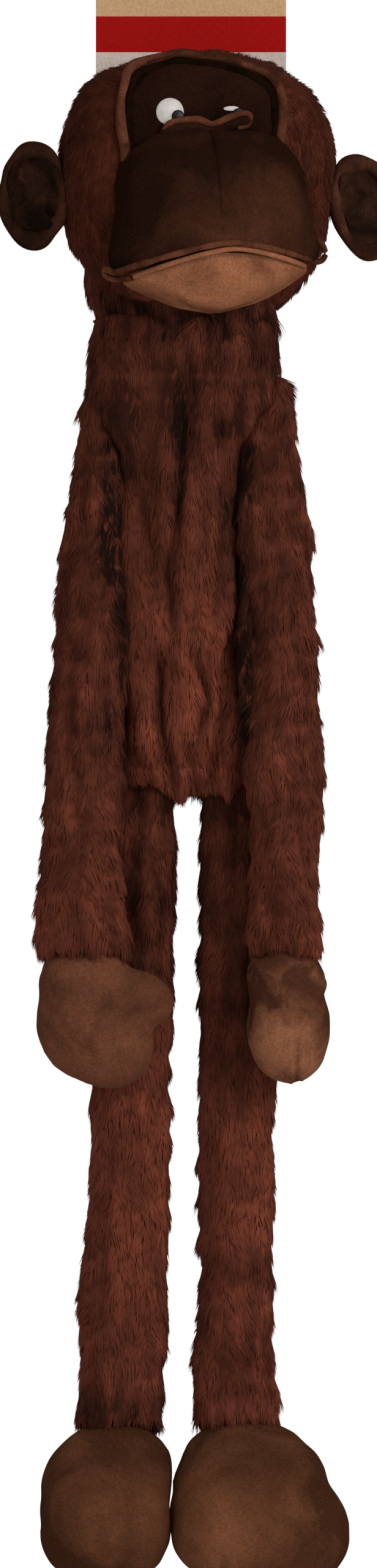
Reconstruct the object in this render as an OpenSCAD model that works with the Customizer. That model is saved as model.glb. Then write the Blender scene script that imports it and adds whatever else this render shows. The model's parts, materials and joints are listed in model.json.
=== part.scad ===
// Long-limbed stuffed monkey on a blank header card. It hangs from the card's hole.
// Millimetres, +Z up, the monkey faces -Y, and its own left side is +X.
// The origin is the centre of the hang hole.

/* [Header card] */
// Width of the card
card_w = 138; // [120:1:150]
// Height of the card
card_h = 135; // [125:1:140]
// Thickness of the card
card_t = 0.8; // [0.6:0.1:1.2]
// Radius of the hang hole
hang_r = 4; // [3:0.5:5]
// Distance from the hang hole up to the top edge of the card
hang_edge = 12; // [9:1:16]

/* [Head] */
// Half the width of the head
head_a = 96; // [94:1:97]
// Half the depth of the head
head_b = 62; // [60:1:63]
// Half the height of the head
head_c = 86; // [84:1:86]
// How far the face is turned towards the monkey's left, in degrees
head_turn = 9; // [6:1:10]
// Half the width of the muzzle
muzzle_a = 75; // [72:1:76]
// How far the muzzle stands out from the face
muzzle_out = 62.5; // [58:0.5:64]
// Radius of the eyes
eye_r = 10.5; // [9:0.5:11]

/* [Body] */
// Thickness of the fur fabric with the roots of its pile
fur_t = 2.6; // [2:0.2:3]
// Thickness of the short plush of the face, hands and feet
plush_t = 2; // [1.6:0.2:2.4]
// Radius of the ball at the top of each arm and leg
ball_r = 12; // [10:0.5:12]

/* [Squeakers] */
// Outer radius of a squeaker
squeak_r = 17; // [15:0.5:18]
// How far a squeaker presses in
squeak_travel = 6; // [4:0.5:7]

/* [Hidden] */

FUR = [0.30, 0.15, 0.10];
DARK_PLUSH = [0.20, 0.11, 0.07];
PAW_PLUSH = [0.36, 0.21, 0.14];
JAW_PLUSH = [0.50, 0.31, 0.21];
FILL = [0.93, 0.92, 0.88];

SIDES = 20;             // points round a soft ring
GAP = 0.5;              // clearance between a skin and what fills it
TIP = 0.04;             // share of full size at a closed end
head_at = [4, -68, -153];
head_roll = -2;
pin_z = -95;            // height of the tag pins
pin_x = 22;             // half the distance between them
pin_r = 0.5;
rim_y = -38;            // front edge of the head's fur, from the head's centre
face_y = -45;           // front of the face panel
face_a = 76;
face_c = 68;
muzzle_z = -45;         // height of the muzzle's widest place
muzzle_c = 77;
lip_z = -70;            // height of the mouth's corners
lip_arch = 16;          // rise of the mouth's middle above its corners
eye_x = [19, -25];      // the monkey's left and right eye
eye_z = 42;
shank_r = 2.2;
cavity_r = squeak_r + 1.5;
head_squeak_at = [0, 22, -8];
belly_squeak_at = [-4, -44, -430];

// Pivots of the limbs, the monkey's left first
LEFT = 0;
RIGHT = 1;
shoulder_at = [[60, -62, -322], [-67, -62, -322]];
elbow_at = [[72, -85, -515], [-79, -84, -515]];
wrist_at = [[67, -98, -722], [-77, -94, -722]];
hip_at = [[34, -42, -598], [-43, -42, -598]];
knee_at = [[34, -42, -830], [-43, -42, -830]];
ankle_at = [[31, -42, -1062], [-52, -42, -1062]];

// Room to bend at a pivot: depth allowed per millimetre of distance from it
ELBOW_FRONT = 1 / tan(52);
WRIST_BEND = 1 / tan(20);
KNEE_BACK = 1 / tan(57);
ANKLE_BEND = 1 / tan(17);
STRAIGHT = 12;

// Half widths (a) and half depths (b) of the limbs by height, the monkey's left first
arm_a = [[[-722, 28], [-640, 26], [-560, 24], [-480, 22], [-400, 21], [-350, 16], [-322, 13]],
         [[-722, 36], [-640, 31], [-560, 25], [-480, 24], [-400, 20], [-350, 15], [-322, 13]]];
arm_b = [[[-722, 30], [-640, 26], [-560, 23], [-480, 22], [-400, 19], [-350, 15], [-322, 12]],
         [[-722, 24], [-640, 23], [-560, 22], [-480, 21], [-400, 18], [-350, 14], [-322, 12]]];
leg_a = [[[-1062, 32], [-1000, 29], [-900, 27], [-700, 28], [-632, 26], [-598, 16]],
         [[-1062, 33], [-1000, 32], [-900, 30], [-700, 30], [-632, 28], [-598, 16]]];
leg_b = [[[-1062, 23], [-830, 22], [-632, 21], [-598, 14]],
         [[-1062, 23], [-830, 22], [-632, 21], [-598, 14]]];

// Rings of the stuffed ends: height, then the ring's left, right, front and back
hand_rings = [
    [[-724, 61, 73, -102, -94], [-731, 44, 90, -117, -79], [-745, 40, 98, -126, -72],
     [-765, 40, 101, -128, -70], [-785, 45, 97, -124, -73], [-800, 56, 88, -114, -82],
     [-808, 66, 78, -102, -92]],
    [[-724, -84, -70, -98, -90], [-731, -104, -52, -112, -76], [-738, -108, -30, -117, -71],
     [-752, -109, -13, -119, -69], [-768, -108, -16, -118, -70], [-784, -104, -34, -115, -73],
     [-798, -95, -42, -111, -78], [-808, -82, -50, -103, -85], [-812, -72, -58, -97, -91]]];
foot_rings = [
    [[-1064, 24, 38, -46, -38], [-1071, 2, 64, -62, -22], [-1085, -8, 86, -84, -12],
     [-1110, -12, 104, -110, -8], [-1135, -13, 112, -118, -10], [-1155, -10, 108, -114, -20],
     [-1168, 6, 92, -100, -36], [-1173, 24, 70, -82, -52]],
    [[-1064, -60, -44, -46, -38], [-1071, -84, -22, -62, -22], [-1085, -98, -17, -84, -12],
     [-1110, -108, -15, -106, -8], [-1135, -109, -15, -112, -10], [-1155, -102, -18, -108, -20],
     [-1168, -86, -30, -96, -36], [-1173, -70, -46, -80, -52]]];
torso_rings = [
    [-296, -66, 58, -98, -26], [-302, -66, 58, -99, -25], [-307, -54, 46, -98, -22],
    [-340, -52, 44, -96, -20], [-420, -52, 44, -97, -19], [-500, -52, 45, -96, -20],
    [-560, -51, 44, -93, -20], [-582, -49, 42, -84, -24]];
neck_rings = [[-241, -66, 62, -104, -22], [-262, -64, 60, -103, -23], [-284, -66, 60, -102, -24]];

// ---- Rings and the solids made from them ----

// One level oval ring, counter-clockwise from above
function oval(x1, x2, y1, y2, z) =
    [for (i = [0:SIDES - 1]) let (t = 360 * i / SIDES)
        [(x1 + x2) / 2 + (x2 - x1) / 2 * cos(t), (y1 + y2) / 2 + (y2 - y1) / 2 * sin(t), z]];

// The ring of one row of a table, taken in by t all round
function table_ring(row, t = 0) =
    let (w = min(t, 0.3 * (row[2] - row[1])), d = min(t, 0.3 * (row[4] - row[3])))
    oval(row[1] + w, row[2] - w, row[3] + d, row[4] - d, row[0]);

// One upright ring facing the front, of half width a and half height c, k times full size
function disc_ring(a, c, y, k) =
    [for (i = [0:SIDES - 1]) let (t = 360 * i / SIDES) [a * k * cos(t), y, c * k * sin(t)]];

function flip(list) = [for (i = [len(list) - 1:-1:0]) list[i]];
function middle(ring) = [for (k = [0:2]) [for (p = ring) p[k]] * [for (p = ring) 1] / len(ring)];
function bend_power(v, n) = sign(v) * pow(abs(v), 2 / n);

// A closed solid over a list of rings from top to bottom, or front to back
// lean turns the diagonals of its faces round, so that a filling's faces match its skin's inside
module loft(rings, lean = false) {
    n = len(rings[0]);
    m = len(rings);
    points = concat([for (r = rings) each r], [middle(rings[0]), middle(rings[m - 1])]);
    walls = [for (j = [0:m - 2], i = [0:n - 1])
        let (k = (i + 1) % n, a = j * n + i, b = j * n + k, c = (j + 1) * n + k, d = (j + 1) * n + i)
        each (lean ? [[a, b, d], [b, c, d]] : [[a, b, c], [a, c, d]])];
    top = [for (i = [0:n - 1]) [m * n, (i + 1) % n, i]];
    bottom = [for (i = [0:n - 1]) [m * n + 1, (m - 1) * n + i, (m - 1) * n + (i + 1) % n]];
    polyhedron(points, concat(walls, top, bottom));
}

// A skin open at its first ring, and a sleeve open at both ends
module cup(outer, inner) {
    loft(concat(flip(inner), outer));
}

module sleeve(outer, inner) {
    rings = concat(outer, flip(inner));
    n = len(rings[0]);
    m = len(rings);
    polyhedron([for (r = rings) each r],
        [for (j = [0:m - 1], i = [0:n - 1]) let (k = (i + 1) % n, l = (j + 1) % m)
            each [[j * n + i, j * n + k, l * n + k], [j * n + i, l * n + k, l * n + i]]]);
}

// A round cord of radius r along a path that never runs straight along Y
module rope(path, r, sides = 10) {
    last = len(path) - 1;
    loft([for (j = [0:last]) let (
            d = path[min(j + 1, last)] - path[max(j - 1, 0)],
            n0 = cross(d, [0, 1, 0]), n = n0 / norm(n0),
            b0 = cross(d, n), b = b0 / norm(b0),
            s = (j == 0 || j == last) ? 0.55 : 1)
        [for (i = [0:sides - 1]) let (t = -360 * i / sides)
            path[j] + r * s * (cos(t) * n + sin(t) * b)]]);
}

// A curved sheet between two grids of points with the same rows and columns
module sheet(outer, inner) {
    rows = len(outer);
    cols = len(outer[0]);
    half = rows * cols;
    edge = concat([for (c = [0:cols - 2]) c],
        [for (r = [0:rows - 2]) r * cols + cols - 1],
        [for (c = [cols - 1:-1:1]) (rows - 1) * cols + c],
        [for (r = [rows - 1:-1:1]) r * cols]);
    e = len(edge);
    polyhedron(concat([for (r = outer) each r], [for (r = inner) each r]), concat(
        [for (r = [0:rows - 2], c = [0:cols - 2]) let (p = r * cols + c)
            each [[p, p + 1, p + cols + 1], [p, p + cols + 1, p + cols]]],
        [for (r = [0:rows - 2], c = [0:cols - 2]) let (p = half + r * cols + c)
            each [[p, p + cols + 1, p + 1], [p, p + cols, p + cols + 1]]],
        [for (i = [0:e - 1]) let (p = edge[i], q = edge[(i + 1) % e])
            each [[p, half + p, half + q], [p, half + q, q]]]));
}

module at_head() {
    translate(head_at) rotate([0, head_roll, head_turn]) children();
}

// ---- Header card and its pins ----

module header_card() {
    color([0.71, 0.57, 0.42]) difference() {
        translate([-card_w / 2, -card_t / 2, hang_edge - card_h]) cube([card_w, card_t, card_h]);
        rotate([90, 0, 0]) cylinder(r = hang_r, h = 4 * card_t, center = true, $fn = 48);
        for (x = [-pin_x, pin_x])
            translate([x, 0, pin_z]) rotate([90, 0, 0])
                cylinder(r = 1.6, h = 4 * card_t, center = true, $fn = 24);
    }
}

module tag_pins() {
    bar_y = 2.2;
    reach = 30;
    color([0.9, 0.9, 0.9]) for (x = [-pin_x, pin_x]) {
        translate([x, bar_y, pin_z]) rotate([90, 0, 0]) cylinder(r = pin_r, h = reach, $fn = 16);
        translate([x, bar_y, pin_z]) rotate([0, 90, 0])
            cylinder(r = 0.7, h = 9, center = true, $fn = 16);
    }
}

// ---- Head ----

function head_ring(y, t) =
    let (b = head_b - t, k = sqrt(1 - pow(min(abs(y), b * 0.999) / b, 2)))
    disc_ring(head_a - t, head_c - t, y, k);

module head_skin() {
    color(FUR) at_head() cup(
        [for (y = [rim_y, -26, -10, 10, 28, 42, 53, 59, head_b - 0.2]) head_ring(y, 0)],
        [for (y = [rim_y, -26, -10, 10, 28, 42, 51, 56, head_b - fur_t - 0.2])
            head_ring(y, fur_t)]);
}

module head_stuffing() {
    t = fur_t + GAP;
    in = GAP + plush_t;
    color(FILL) at_head() difference() {
        loft(lean = true, rings = concat(
            [disc_ring(face_a, face_c, face_y + in, TIP), disc_ring(face_a, face_c, face_y + in, 0.72),
             disc_ring(face_a, face_c, face_y + in + 2, 0.86)],
            [for (y = [rim_y + 1, -24, -8, 12, 28, 42, 50, 55, head_b - t - 0.2]) head_ring(y, t)]));
        translate(head_squeak_at) rotate([90, 0, 0])
            translate([0, 0, -GAP]) cylinder(r = cavity_r, h = 32, $fn = 48);
        for (x = eye_x) translate([x, face_y + in + 4, eye_z]) rotate([90, 0, 0])
            cylinder(r = 7.5, h = 8, $fn = 32);
    }
}

module face_panel() {
    color(DARK_PLUSH) at_head() difference() {
        loft([disc_ring(face_a, face_c, face_y, TIP), disc_ring(face_a, face_c, face_y, 0.76),
              disc_ring(face_a, face_c, face_y + 1.6, 0.9), disc_ring(face_a, face_c, -41, 0.99),
              disc_ring(face_a, face_c, rim_y - 0.4, 0.99),
              disc_ring(face_a, face_c, face_y + plush_t + 1.6, 0.88),
              disc_ring(face_a, face_c, face_y + plush_t, 0.74),
              disc_ring(face_a, face_c, face_y + plush_t, TIP)]);
        for (x = eye_x) translate([x, face_y - 1, eye_z]) rotate([-90, 0, 0])
            cylinder(r = shank_r + 0.1, h = 6, $fn = 24);
    }
}

module brow_ridge() {
    r = 4;
    foot_z = 22;
    rise = 56;
    half_w = 61;
    color(PAW_PLUSH) at_head() rope([for (t = [180:-9:0])
        [half_w * cos(t), face_y - r - 0.5, foot_z + rise * sin(t)]], r);
}

// A button eye with its shank, built looking along -Y from the face
module eye(x) {
    color([0.93, 0.92, 0.90]) at_head() translate([x, face_y - 0.3, eye_z]) rotate([90, 0, 0]) {
        rotate_extrude($fn = 48) polygon(concat([[0, 0], [eye_r - 0.6, 0]],
            [for (t = [0:15:90]) [eye_r * cos(t), 1 + 3.4 * sin(t)]]));
        translate([0, 0, -6.2]) cylinder(r = shank_r, h = 6.4, $fn = 24);
    }
}

module pupil(x) {
    color([0.03, 0.03, 0.03]) at_head() translate([x + 5, face_y - 4.9, eye_z - 3])
        rotate([90, 0, 0]) rotate_extrude($fn = 32)
            polygon(concat([[0, 0]], [for (t = [0:22.5:90]) [4.6 * cos(t), 0.1 + 1.2 * sin(t)]]));
}

module eye_washers() {
    color([0.85, 0.85, 0.85]) at_head() for (x = eye_x)
        translate([x, face_y + plush_t + 3, eye_z]) rotate([90, 0, 0]) difference() {
            cylinder(r = 6.5, h = 1.6, $fn = 32);
            translate([0, 0, -1]) cylinder(r = shank_r, h = 4, $fn = 24);
        }
}

module nose_fold() {
    color(PAW_PLUSH) at_head() rope([for (x = [-28:4:28])
        [x + 1, face_y - 10.5, 37.6 + 3 * cos(360 * x / 34 + 180) - x * x / 130]], 3.8);
}

// The mouth's line, and the dome above it at share u from its front to its foot
function lip(x) = lip_z + lip_arch * (1 - pow(x / muzzle_a, 2));

function muzzle_point(u, t, in) =
    let (k = sin(90 * u),
         x = (muzzle_a - in) * k * bend_power(cos(t), 2.6),
         z = muzzle_z + (muzzle_c - in) * k * bend_power(sin(t), 2.6))
    [x, face_y - 0.5 - (muzzle_out - in) * cos(90 * u), max(z, lip(x))];

MUZZLE_STEPS = [TIP, 0.2, 0.4, 0.58, 0.74, 0.88, 1];

module muzzle_stuffing() {
    color(FILL) at_head() loft([for (u = MUZZLE_STEPS)
        [for (i = [0:SIDES - 1]) muzzle_point(u, 360 * i / SIDES + 0.01, plush_t + GAP)]]);
}

// Half of the muzzle's plush, from the middle seam to the corner of the mouth
module muzzle_panel(side) {
    seam = 0.15;
    turn = [for (i = [0:12]) 89.7 - 112 * i / 12];
    function shape(in) = [for (u = MUZZLE_STEPS) [for (t = turn)
        let (p = muzzle_point(u, t, in)) [max(p[0], seam), p[1], p[2]]]];
    color(DARK_PLUSH) at_head() mirror([side, 0, 0]) sheet(shape(0), shape(plush_t));
}

module muzzle_left_panel() { muzzle_panel(LEFT); }
module muzzle_right_panel() { muzzle_panel(RIGHT); }

module lip_welt() {
    a = muzzle_a - 3;
    color(PAW_PLUSH) at_head() rope([for (t = [-84:8:84])
        [a * sin(t), face_y - 3 - (muzzle_out - 5) * cos(t), lip(a * sin(t)) - 3.4]], 3);
}

// A ring with a straight back and a round front
function jaw_ring(a, front, back, z, arched) =
    [for (i = [0:SIDES - 1]) let (t = 360 * i / SIDES, x = a * cos(t))
        [x, back + (back - front) * min(sin(t), 0), arched ? lip(x) - 0.6 : z]];

module lower_jaw() {
    color(JAW_PLUSH) at_head() loft([jaw_ring(67, -99, -47, 0, true), jaw_ring(62, -98, -48, -78, false),
        jaw_ring(50, -94, -53, -86, false), jaw_ring(34, -87, -55, -94, false),
        jaw_ring(14, -78, -58, -100, false)]);
}

// ---- Ears, built facing the front about their own middle ----

ear_a = 21.5;
ear_c = 39;
ear_at = [[119, -2, -26], [-119, -2, -16]];

module ear_back(side) {
    color(FUR) at_head() translate(ear_at[side]) cup(
        [disc_ring(ear_a, ear_c, -4, 1), disc_ring(ear_a, ear_c, 0, 0.98),
         disc_ring(ear_a, ear_c, 4, 0.72), disc_ring(ear_a, ear_c, 5.5, TIP)],
        [disc_ring(ear_a, ear_c, -4, 0.9), disc_ring(ear_a, ear_c, -2.4, 0.8),
         disc_ring(ear_a, ear_c, 0.6, 0.5), disc_ring(ear_a, ear_c, 2, TIP)]);
}

module ear_front(side) {
    color(DARK_PLUSH) at_head() translate(ear_at[side]) cup(
        [disc_ring(ear_a, ear_c, -4.8, 0.85), disc_ring(ear_a, ear_c, -3, 0.74),
         disc_ring(ear_a, ear_c, -0.2, 0.44), disc_ring(ear_a, ear_c, 1.2, TIP)],
        [disc_ring(ear_a, ear_c, -5.2, 0.78), disc_ring(ear_a, ear_c, -4.4, 0.7),
         disc_ring(ear_a, ear_c, -2.2, 0.4), disc_ring(ear_a, ear_c, -1.2, TIP)]);
}

// ---- Squeakers: a cup with a reed, and a dome that presses into it along +Y ----

module squeaker_base() {
    color([0.95, 0.95, 0.92]) rotate([90, 0, 0]) rotate_extrude($fn = 64) polygon([
        [5, 0], [squeak_r, 0], [squeak_r, 12], [squeak_r - 1.4, 12], [squeak_r - 1.4, 1.6],
        [5, 1.6], [5, 6], [3.4, 6], [3.4, 0]]);
}

module squeaker_reed() {
    color([0.8, 0.7, 0.35]) rotate([90, 0, 0]) difference() {
        cylinder(r = 3.3, h = 5, $fn = 32);
        translate([-1.2, -4, -1]) cube([2.4, 8, 5]);
    }
}

module squeaker_dome() {
    r = squeak_r - 1.8;
    color([0.95, 0.95, 0.92]) rotate([90, 0, 0]) rotate_extrude($fn = 64) polygon([
        [r - 1.2, 9], [r, 9], [r, 18], [r - 4, 24], [0, 26.5], [0, 25], [r - 4.8, 22.8],
        [r - 1.2, 17.5]]);
}

module in_head_cavity() {
    at_head() translate(head_squeak_at) children();
}

module in_belly_cavity() {
    translate(belly_squeak_at) children();
}

// ---- Neck and torso ----

module neck_skin() {
    color(FUR) sleeve([for (r = neck_rings) table_ring(r)],
        [for (r = neck_rings) table_ring(r, fur_t)]);
}

module neck_stuffing() {
    color(FILL) loft([for (r = neck_rings) table_ring(r, fur_t + GAP)], lean = true);
}

// The rings of a stuffed skin's inside, closed a little above its lowest ring
function inside(rows, t) = [for (i = [0:len(rows) - 1]) let (r = rows[i])
    table_ring(i == len(rows) - 1 ? [r[0] + t, r[1], r[2], r[3], r[4]] : r, t)];

module torso_skin() {
    color(FUR) cup([for (r = torso_rings) table_ring(r)], inside(torso_rings, fur_t));
}

module torso_stuffing() {
    color(FILL) difference() {
        loft(inside(torso_rings, fur_t + GAP), lean = true);
        translate(belly_squeak_at) rotate([90, 0, 0]) translate([0, 0, -GAP])
            cylinder(r = cavity_r, h = 32, $fn = 48);
    }
}

// ---- Limbs ----

// Ring of a limb at height z between two pivots, taken in by t. bend is the room to bend:
// [front, back] at the upper pivot, then at the lower one
function limb_ring(z, top, end, wide, deep, bend, side_room, t) =
    let (f = (top[2] - z) / (top[2] - end[2]), x = top[0] + f * (end[0] - top[0]),
         y = top[1] + f * (end[1] - top[1]),
         up = max(top[2] - z - 0.6, 0.6), down = max(z - end[2] - 0.6, 0.6),
         a = min(lookup(z, wide), side_room * up), b = lookup(z, deep),
         front = min(b, bend[0][0] * up, bend[1][0] * down),
         back = min(b, bend[0][1] * up, bend[1][1] * down))
    table_ring([z, x - a, x + a, y - front, y + back], t);

// Heights of a limb's rings, closer together towards its ends
function limb_heights(top, end, first, last) =
    let (a = top - first, b = end + last)
    concat([a, a - 7, a - 15, a - 27], [for (f = [1:3]) a + (b - a) * f / 4],
        [b + 27, b + 15, b + 7, b]);

module limb_sleeve(top, end, wide, deep, bend, first, last, side_room = 9) {
    heights = limb_heights(top[2], end[2], first, last);
    color(FUR) sleeve(
        [for (z = heights) limb_ring(z, top, end, wide, deep, bend, side_room, 0)],
        [for (z = heights) limb_ring(z, top, end, wide, deep, bend, side_room, fur_t)]);
}

module limb_stuffing(top, end, wide, deep, bend, first, last, side_room = 9) {
    color(FILL) loft([for (z = limb_heights(top[2], end[2], first, last))
        limb_ring(z, top, end, wide, deep, bend, side_room, fur_t + GAP)], lean = true);
}

UPPER_ARM_BEND = [[1, 1] * STRAIGHT, [ELBOW_FRONT, STRAIGHT]];
FOREARM_BEND = [[ELBOW_FRONT, STRAIGHT], [1, 1] * WRIST_BEND];
THIGH_BEND = [[1, 1] * STRAIGHT, [STRAIGHT, KNEE_BACK]];
SHIN_BEND = [[STRAIGHT, KNEE_BACK], [1, 1] * ANKLE_BEND];
NEAR_BALL = ball_r + 1.5;
NEAR_PIVOT = 2;

module ball(at) {
    color(FUR) translate(at) sphere(r = ball_r, $fn = 48);
}

module upper_sleeve(s) {
    limb_sleeve(shoulder_at[s], elbow_at[s], arm_a[s], arm_b[s], UPPER_ARM_BEND,
        NEAR_BALL, NEAR_PIVOT);
}

module upper_arm_stuffing(s) {
    limb_stuffing(shoulder_at[s], elbow_at[s], arm_a[s], arm_b[s], UPPER_ARM_BEND,
        NEAR_BALL, NEAR_PIVOT);
}

module forearm_sleeve(s) {
    limb_sleeve(elbow_at[s], wrist_at[s], arm_a[s], arm_b[s], FOREARM_BEND,
        NEAR_PIVOT, NEAR_PIVOT);
}

module forearm_stuffing(s) {
    limb_stuffing(elbow_at[s], wrist_at[s], arm_a[s], arm_b[s], FOREARM_BEND,
        NEAR_PIVOT, NEAR_PIVOT);
}

module thigh_sleeve(s) {
    limb_sleeve(hip_at[s], knee_at[s], leg_a[s], leg_b[s], THIGH_BEND, NEAR_BALL, NEAR_PIVOT);
}

module thigh_stuffing(s) {
    limb_stuffing(hip_at[s], knee_at[s], leg_a[s], leg_b[s], THIGH_BEND, NEAR_BALL, NEAR_PIVOT);
}

module shin_sleeve(s) {
    limb_sleeve(knee_at[s], ankle_at[s], leg_a[s], leg_b[s], SHIN_BEND, NEAR_PIVOT, NEAR_PIVOT);
}

module shin_stuffing(s) {
    limb_stuffing(knee_at[s], ankle_at[s], leg_a[s], leg_b[s], SHIN_BEND, NEAR_PIVOT, NEAR_PIVOT);
}

// The plush skin and the filling of a hand or a foot
module paw_skin(rows) {
    color(PAW_PLUSH) cup([for (r = rows) table_ring(r)], inside(rows, plush_t));
}

module paw_stuffing(rows) {
    color(FILL) loft(inside(rows, plush_t + GAP), lean = true);
}

header_card();
tag_pins();
head_skin();
head_stuffing();
face_panel();
brow_ridge();
eye(eye_x[LEFT]);  // left_eye
eye(eye_x[RIGHT]);  // right_eye
pupil(eye_x[LEFT]);  // left_pupil
pupil(eye_x[RIGHT]);  // right_pupil
eye_washers();
nose_fold();
muzzle_left_panel();
muzzle_right_panel();
muzzle_stuffing();
lip_welt();
lower_jaw();
ear_back(LEFT);  // left_ear_back
ear_front(LEFT);  // left_ear_front
ear_back(RIGHT);  // right_ear_back
ear_front(RIGHT);  // right_ear_front
in_head_cavity() squeaker_base();  // head_squeaker_base
in_head_cavity() squeaker_dome();  // head_squeaker_dome
in_head_cavity() squeaker_reed();  // head_squeaker_reed
neck_skin();
neck_stuffing();
torso_skin();
torso_stuffing();
in_belly_cavity() squeaker_base();  // belly_squeaker_base
in_belly_cavity() squeaker_dome();  // belly_squeaker_dome
in_belly_cavity() squeaker_reed();  // belly_squeaker_reed
ball(shoulder_at[LEFT]);  // left_shoulder_ball
upper_sleeve(LEFT);  // left_upper_sleeve
upper_arm_stuffing(LEFT);  // left_upper_arm_stuffing
forearm_sleeve(LEFT);  // left_forearm_sleeve
forearm_stuffing(LEFT);  // left_forearm_stuffing
paw_skin(hand_rings[LEFT]);  // left_hand_skin
paw_stuffing(hand_rings[LEFT]);  // left_hand_stuffing
ball(shoulder_at[RIGHT]);  // right_shoulder_ball
upper_sleeve(RIGHT);  // right_upper_sleeve
upper_arm_stuffing(RIGHT);  // right_upper_arm_stuffing
forearm_sleeve(RIGHT);  // right_forearm_sleeve
forearm_stuffing(RIGHT);  // right_forearm_stuffing
paw_skin(hand_rings[RIGHT]);  // right_hand_skin
paw_stuffing(hand_rings[RIGHT]);  // right_hand_stuffing
thigh_sleeve(LEFT);  // left_thigh_sleeve
thigh_stuffing(LEFT);  // left_thigh_stuffing
shin_sleeve(LEFT);  // left_shin_sleeve
shin_stuffing(LEFT);  // left_shin_stuffing
paw_skin(foot_rings[LEFT]);  // left_foot_skin
paw_stuffing(foot_rings[LEFT]);  // left_foot_stuffing
thigh_sleeve(RIGHT);  // right_thigh_sleeve
thigh_stuffing(RIGHT);  // right_thigh_stuffing
shin_sleeve(RIGHT);  // right_shin_sleeve
shin_stuffing(RIGHT);  // right_shin_stuffing
paw_skin(foot_rings[RIGHT]);  // right_foot_skin
paw_stuffing(foot_rings[RIGHT]);  // right_foot_stuffing
ball(hip_at[LEFT]);  // left_hip_ball
ball(hip_at[RIGHT]);  // right_hip_ball
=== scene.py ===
"""A long-limbed stuffed monkey on a blank header card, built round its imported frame.

Lengths here are millimetres in the frame's axes, and become metres when a mesh is made.
The monkey faces -Y, and "left" is its own left, +X.
"""

import json
import math

import bmesh
import bpy
import numpy as np
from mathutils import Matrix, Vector, kdtree


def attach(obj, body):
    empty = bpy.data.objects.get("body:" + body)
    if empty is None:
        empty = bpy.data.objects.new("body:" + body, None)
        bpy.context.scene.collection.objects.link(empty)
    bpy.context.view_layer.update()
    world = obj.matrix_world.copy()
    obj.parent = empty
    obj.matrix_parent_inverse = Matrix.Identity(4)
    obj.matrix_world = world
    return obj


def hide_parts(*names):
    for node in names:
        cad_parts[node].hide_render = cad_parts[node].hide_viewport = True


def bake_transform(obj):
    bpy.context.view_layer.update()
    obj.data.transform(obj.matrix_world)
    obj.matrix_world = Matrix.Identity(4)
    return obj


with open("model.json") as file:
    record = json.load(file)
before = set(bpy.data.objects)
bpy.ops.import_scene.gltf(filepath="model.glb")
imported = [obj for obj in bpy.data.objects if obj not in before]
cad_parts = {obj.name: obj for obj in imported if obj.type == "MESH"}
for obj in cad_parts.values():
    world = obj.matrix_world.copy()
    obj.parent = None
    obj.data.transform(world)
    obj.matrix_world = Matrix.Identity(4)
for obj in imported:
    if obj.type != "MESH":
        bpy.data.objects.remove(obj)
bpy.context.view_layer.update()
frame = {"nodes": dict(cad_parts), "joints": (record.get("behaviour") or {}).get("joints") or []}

MM = 0.001
DOWN = np.array([0.0, 0.0, -1.0])
SIDES = ("left", "right")


# ---- Places taken from the frame ----

def pivot(joint):
    """Where a joint of the frame turns."""
    return np.array(next(j["pos_m"] for j in frame["joints"] if j["name"] == joint)) / MM


def node_points(node):
    """The corner points of a CAD node."""
    vertices = frame["nodes"][node].data.vertices
    flat = np.zeros(len(vertices) * 3)
    vertices.foreach_get("co", flat)
    return flat.reshape(-1, 3) / MM


def cad_rings(*nodes):
    """Height, left, right, front and back of each level ring of some CAD nodes, from the lowest up."""
    rows = []
    for node in nodes:
        points = node_points(node)
        for z in np.unique(points[:, 2].round()):
            ring = points[np.abs(points[:, 2] - z) < 0.8]
            if len(ring) > 8:
                low, high = ring.min(0), ring.max(0)
                rows.append([z, low[0], high[0], low[1], high[1]])
    return np.array(sorted(rows))


HEAD_AT = np.array([4.0, -68.0, -153.0])
HEAD_TURN = math.radians(9)
HEAD_ROLL = math.radians(-2)


def turned_head():
    """The head's own axes in the frame, as columns: rolled about Y, then turned about Z."""
    c, s = math.cos(HEAD_ROLL), math.sin(HEAD_ROLL)
    roll = np.array([[c, 0, s], [0, 1, 0], [-s, 0, c]])
    c, s = math.cos(HEAD_TURN), math.sin(HEAD_TURN)
    turn = np.array([[c, -s, 0], [s, c, 0], [0, 0, 1]])
    return turn @ roll


HEAD_AXES = turned_head()


def from_head(points):
    """Points given about the head's centre and along its axes, in the frame."""
    return HEAD_AT + np.asarray(points, float) @ HEAD_AXES.T


def to_head(points):
    """Points of the frame, about the head's centre and along its axes."""
    return (np.asarray(points, float) - HEAD_AT) @ HEAD_AXES


# ---- Smooth random fields ----

def waves(points, size, seed, stretch=(1, 1, 1)):
    """A smooth random field, mostly from -1 to 1, with soft bumps about size across."""
    count = 16
    rng = np.random.default_rng(seed)
    way = rng.normal(size=(count, 3))
    way /= np.linalg.norm(way, axis=1)[:, None]
    length = 2 * size * rng.uniform(0.7, 1.6, count)
    phase = rng.uniform(0, 2 * math.pi, count)
    turns = (np.asarray(points, float) / np.array(stretch)) @ (way / length[:, None]).T
    return np.sin(2 * math.pi * turns + phase).sum(1) / math.sqrt(count) * 0.9


def smoothstep(x, start, end):
    """0 before start and 1 after end, with a smooth rise between them."""
    t = np.clip((x - start) / (end - start), 0, 1)
    return t * t * (3 - 2 * t)


def power(v, n):
    """Cosines or sines bent so that a round outline becomes a squarer one for n above 2."""
    return np.sign(v) * np.abs(v) ** (2 / n)


def smooth_path(points, count):
    """count points along a smooth curve through the given ones."""
    points = np.asarray(points, float)
    ends = np.vstack([2 * points[0] - points[1], points, 2 * points[-1] - points[-2]])
    at = np.linspace(0, len(points) - 1.000001, count)
    k = at.astype(int)
    t = (at - k)[:, None]
    a, b, c, d = ends[k], ends[k + 1], ends[k + 2], ends[k + 3]
    return 0.5 * (2 * b + (c - a) * t + (2 * a - 5 * b + 4 * c - d) * t ** 2
                  + (3 * b - a - 3 * c + d) * t ** 3)


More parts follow.
